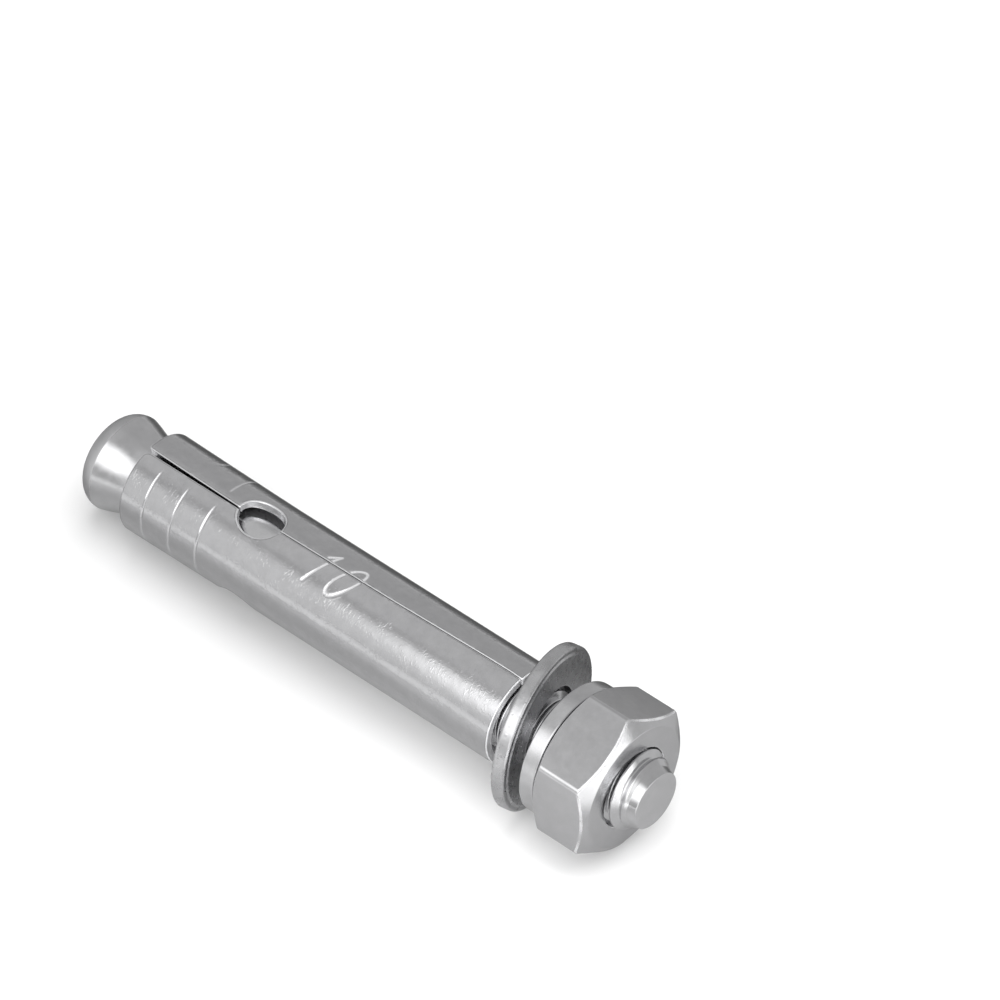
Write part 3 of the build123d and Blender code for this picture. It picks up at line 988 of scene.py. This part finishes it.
Lk.new(use_nut, use_m.inputs[2])
use = use_m.outputs["Value"]
comb = N.new("ShaderNodeMix")
comb.data_type = "RGBA"
comb.blend_type = "MIX"
Lk.new(use, comb.inputs["Factor"])
Lk.new(tone.outputs["Color"], comb.inputs["A"])
# the painted bright reflection past the nut lies on the near side only
far_y = N.new("ShaderNodeMapRange")
far_y.inputs["From Min"].default_value = 0.018
far_y.inputs["From Max"].default_value = 0.040
Lk.new(sep.outputs["Y"], far_y.inputs["Value"])
dim = N.new("ShaderNodeMix")
dim.data_type = "RGBA"
dim.blend_type = "MIX"
Lk.new(far_y.outputs["Result"], dim.inputs["Factor"])
Lk.new(ends, dim.inputs["A"])
dim.inputs["B"].default_value = (0.40, 0.40, 0.40, 1)
Lk.new(dim.outputs["Result"], comb.inputs["B"])
Lk.new(comb.outputs["Result"], d_gl.inputs["Color"])
mix = N.new("ShaderNodeMixShader")
Lk.new(lp.outputs["Is Glossy Ray"], mix.inputs["Fac"])
Lk.new(d_cam.outputs["BSDF"], mix.inputs[1])
Lk.new(d_gl.outputs["BSDF"], mix.inputs[2])
Lk.new(mix.outputs["Shader"], out.inputs["Surface"])
fme = bpy.data.meshes.new("floor")
S = 4.0
fme.from_pydata([(-S, -S, 0), (S, -S, 0), (S, S, 0), (-S, S, 0)], [], [(0, 1, 2, 3)])
fme.materials.append(fm)
floor = bpy.data.objects.new("floor", fme)
bpy.context.scene.collection.objects.link(floor)
floor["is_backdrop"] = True

world = bpy.data.worlds.new("studio")
bpy.context.scene.world = world
world.use_nodes = True
nt = world.node_tree
nt.nodes.clear()
N, Lk = nt.nodes, nt.links
wout = N.new("ShaderNodeOutputWorld")
bg = N.new("ShaderNodeBackground")
Lk.new(bg.outputs["Background"], wout.inputs["Surface"])
tc = N.new("ShaderNodeTexCoord")


def direction(az, el):
    a, e = math.radians(az), math.radians(el)
    return (math.cos(e) * math.cos(a), math.cos(e) * math.sin(a), math.sin(e))


def math_node(op, a=None, b=None, c=None):
    n_ = N.new("ShaderNodeMath")
    n_.operation = op
    for i, q in enumerate((a, b, c)):
        if q is None:
            continue
        if isinstance(q, (int, float)):
            n_.inputs[i].default_value = q
        else:
            Lk.new(q, n_.inputs[i])
    return n_.outputs["Value"]


def lobe(az, el, width, amount, hard=1.0):
    """A soft light in one direction: 1 at its middle, falling off over width degrees."""
    dot = N.new("ShaderNodeVectorMath")
    dot.operation = "DOT_PRODUCT"
    nrm_ = N.new("ShaderNodeVectorMath")
    nrm_.operation = "NORMALIZE"
    Lk.new(tc.outputs["Generated"], nrm_.inputs[0])
    Lk.new(nrm_.outputs["Vector"], dot.inputs[0])
    dot.inputs[1].default_value = direction(az, el)
    m_ = N.new("ShaderNodeMapRange")
    m_.interpolation_type = "SMOOTHERSTEP"
    m_.inputs["From Min"].default_value = math.cos(math.radians(width * (1 + hard)))
    m_.inputs["From Max"].default_value = math.cos(math.radians(width * max(0.02, 1 - hard)))
    m_.inputs["To Min"].default_value = 0.0
    m_.inputs["To Max"].default_value = amount
    Lk.new(dot.outputs["Value"], m_.inputs["Value"])
    return m_.outputs["Result"]


level = math_node("ADD", lobe(-126, 21, 20, 0.34, 0.9), lobe(170, 60, 20, 0.17, 0.5))
level = math_node("ADD", level, lobe(-78, 50, 20, 1.45, 0.8))
level = math_node("ADD", level, lobe(14, 4, 11, 1.7, 0.7))
level = math_node("ADD", level, lobe(-18, 28, 15, 1.1, 0.7))
level = math_node("ADD", level, lobe(-60, 20, 14, 1.0, 0.6))
level = math_node("ADD", level, 0.475)
wlp = N.new("ShaderNodeLightPath")
# what the camera sees past the floor is the same pale white
cam_mix = N.new("ShaderNodeMix")
cam_mix.data_type = "FLOAT"
Lk.new(wlp.outputs["Is Camera Ray"], cam_mix.inputs["Factor"])
Lk.new(level, cam_mix.inputs["A"])
cam_mix.inputs["B"].default_value = 1.1
Lk.new(cam_mix.outputs["Result"], bg.inputs["Strength"])
bg.inputs["Color"].default_value = (1.0, 1.0, 1.0, 1)


def area(name, loc, target, size, power, glossy=False):
    ld = bpy.data.lights.new(name, "AREA")
    ld.shape = "DISK"
    ld.size = size
    ld.energy = power
    ob = bpy.data.objects.new(name, ld)
    ob.location = loc
    ob.rotation_euler = (Vector(target) - Vector(loc)).to_track_quat("-Z", "Y").to_euler()
    bpy.context.scene.collection.objects.link(ob)
    ob.visible_glossy = glossy
    ob.visible_camera = False
    return ob


area("overhead", (0.15, 0.35, 1.1), (0, 0, 0), 1.5, 12.8)


def fill(name, kind, loc, target, energy):
    """Lifts the floor's shadows and casts none."""
    ld = bpy.data.lights.new(name, kind)
    ld.energy = energy
    if kind == "POINT":
        ld.shadow_soft_size = 0.02
    ld.use_shadow = False
    ob = bpy.data.objects.new(name, ld)
    ob.location = loc
    ob.rotation_euler = (Vector(target) - Vector(loc)).to_track_quat("-Z", "Y").to_euler()
    bpy.context.scene.collection.objects.link(ob)
    ob.visible_glossy = False
    ob.visible_camera = False


fill("lift_end", "POINT", (0.034, -0.012, 0.028), (0, 0, 0), 0.033)


def panel(name, az, el, dist, radius, inner, strength, centre=(0.0, 0.0, 0.01)):
    """A soft round light that only reflections see, brightest in its middle."""
    mat, t = nodes_of(name + "_light")
    o = t.nodes.new("ShaderNodeOutputMaterial")
    em = t.nodes.new("ShaderNodeEmission")
    c_ = t.nodes.new("ShaderNodeTexCoord")
    ln = t.nodes.new("ShaderNodeVectorMath")
    ln.operation = "LENGTH"
    t.links.new(c_.outputs["Object"], ln.inputs[0])
    r_ = t.nodes.new("ShaderNodeMapRange")
    r_.interpolation_type = "SMOOTHERSTEP"
    r_.inputs["From Min"].default_value = inner
    r_.inputs["From Max"].default_value = radius
    r_.inputs["To Min"].default_value = strength
    r_.inputs["To Max"].default_value = 0.0
    t.links.new(ln.outputs["Value"], r_.inputs["Value"])
    t.links.new(r_.outputs["Result"], em.inputs["Strength"])
    tr = t.nodes.new("ShaderNodeBsdfTransparent")
    ad = t.nodes.new("ShaderNodeAddShader")
    t.links.new(em.outputs["Emission"], ad.inputs[0])
    t.links.new(tr.outputs["BSDF"], ad.inputs[1])
    t.links.new(ad.outputs["Shader"], o.inputs["Surface"])
    me_ = bpy.data.meshes.new(name)
    k = 48
    vs_ = [(radius * math.cos(2 * math.pi * i / k), radius * math.sin(2 * math.pi * i / k), 0) for i in range(k)]
    me_.from_pydata(vs_, [], [tuple(range(k))])
    me_.materials.append(mat)
    ob = bpy.data.objects.new(name, me_)
    d_ = Vector(direction(az, el))
    ob.location = Vector(centre) + d_ * dist
    ob.rotation_euler = (-d_).to_track_quat("-Z", "Y").to_euler()
    bpy.context.scene.collection.objects.link(ob)
    ob.visible_camera = False
    ob.visible_diffuse = False
    ob.visible_shadow = False
    ob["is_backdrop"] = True
    return ob


panel("soft_panel", -125, 35, 0.080, 0.048, 0.0, 0.9, centre=(0.0344, -0.005, 0.0155))

# ------------------------------------------------------------------ camera --
cam_d = bpy.data.cameras.new("camera")
cam_d.lens = 216.0
cam_d.sensor_width = 36.0
cam_d.clip_start = 0.01
cam_d.clip_end = 100.0
cam = bpy.data.objects.new("camera", cam_d)
from mathutils import Matrix
right = row_dir((0.751858, 0.657751, -0.045541))
up = row_dir((-0.463602, 0.576519, 0.672831))
fwd = row_dir((-0.468810, 0.484760, -0.738396))
back_ = -fwd
loc = row([(364.913, -312.716, 511.399)])[0]
M = Matrix(((right.x, up.x, back_.x, loc[0]), (right.y, up.y, back_.y, loc[1]), (right.z, up.z, back_.z, loc[2]), (0, 0, 0, 1)))
cam.matrix_world = M
bpy.context.scene.collection.objects.link(cam)
bpy.context.scene.camera = cam

bpy.context.scene.view_settings.view_transform = "Standard"
bpy.context.scene.view_settings.look = "None"
bpy.context.scene.view_settings.exposure = 0.0
bpy.context.scene.view_settings.gamma = 1.0


def plain(b):
    return [[float(q) for q in v] if hasattr(v, "__len__") else float(v) for v in b]


{"cad": plain(CAD_BOX), "visual": plain(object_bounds())}
